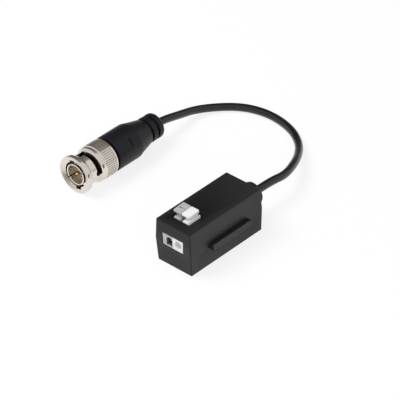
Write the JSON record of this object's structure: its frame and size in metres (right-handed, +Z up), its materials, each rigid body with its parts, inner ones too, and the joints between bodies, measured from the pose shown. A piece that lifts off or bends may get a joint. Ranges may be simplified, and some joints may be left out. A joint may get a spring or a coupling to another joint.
{
  "type": "video balun",
  "caption": "Passive video balun: small box with push-button wire clamps, a side clip rail and a short lead to a bayonet video plug.",
  "frame": {"origin": "centre of the housing's flat base", "axes": "+Z up from the base, +Y along the housing towards the lead, +X towards the side with the clip rail"},
  "size_m": [0.0745, 0.0892, 0.0201],
  "materials": {
    "housing_black": "fine matte moulded ABS",
    "board_green": "solder mask over glass-filled board",
    "terminal_grey": "satin moulded nylon",
    "terminal_white": "satin moulded nylon",
    "spring_steel": "plain spring steel",
    "tinned_brass": "tin plated",
    "coated_ferrite": "epoxy-coated ferrite",
    "enamelled_copper": "clear enamel over copper",
    "arrester_white": "glazed ceramic with bright end caps",
    "chip_tan": "fired ceramic",
    "gland_black": "moulded matte",
    "lead_black": "extruded satin",
    "bare_copper": "bare copper",
    "nickel_plate": "bright nickel plate",
    "gold_plate": "gold plate",
    "insulator_white": "natural fluoropolymer",
    "gasket_red": "moulded silicone",
    "boot_black": "moulded satin"
  },
  "bodies": {
    "balun": {"lower_shell": "housing_black", "upper_shell": "housing_black", "circuit_board": "board_green", "grey_terminal": "terminal_grey", "white_terminal": "terminal_white", "grey_clamp_spring": "spring_steel", "white_clamp_spring": "spring_steel", "grey_contact_bar": "tinned_brass", "white_contact_bar": "tinned_brass", "choke_core": "coated_ferrite", "choke_winding_left": "enamelled_copper", "choke_winding_right": "enamelled_copper", "surge_arrester": "arrester_white", "chip_capacitors": "chip_tan", "cable_gland": "gland_black", "lead_jacket": "lead_black", "lead_core": "bare_copper", "lead_screen": "bare_copper", "plug_shell": "nickel_plate", "centre_pin": "gold_plate", "pin_insulator": "insulator_white", "face_gasket": "gasket_red", "wave_washer": "spring_steel", "lead_dielectric": "insulator_white", "crimp_ferrule": "nickel_plate", "plug_boot": "boot_black"},
    "grey_button": {"grey_button": "terminal_grey"},
    "white_button": {"white_button": "terminal_white"},
    "nut_carrier": {"thrust_washer": "spring_steel"},
    "nut": {"coupling_nut": "nickel_plate", "snap_ring": "spring_steel"}
  },
  "joints": [
    {"name": "grey_button_press", "type": "slide", "parent": "balun", "child": "grey_button", "axis": [0, 0, -1], "range_m": [0, 0.001], "stiffness_N_per_m": 1500, "springref_m": -0.0004, "deforming": ["grey_clamp_spring"]},
    {"name": "white_button_press", "type": "slide", "parent": "balun", "child": "white_button", "axis": [0, 0, -1], "range_m": [0, 0.001], "stiffness_N_per_m": 1500, "springref_m": -0.0004, "deforming": ["white_clamp_spring"]},
    {"name": "nut_pull", "type": "slide", "parent": "balun", "child": "nut_carrier", "axis": [0, -1, 0], "range_m": [0, 0.0008], "stiffness_N_per_m": 6000, "springref_m": -0.0002, "deforming": ["wave_washer"]},
    {"name": "nut_turn", "type": "hinge", "parent": "nut_carrier", "child": "nut", "pos_m": [-0.05717, 0, 0.0073], "axis": [0, 1, 0], "continuous": true}
  ]
}
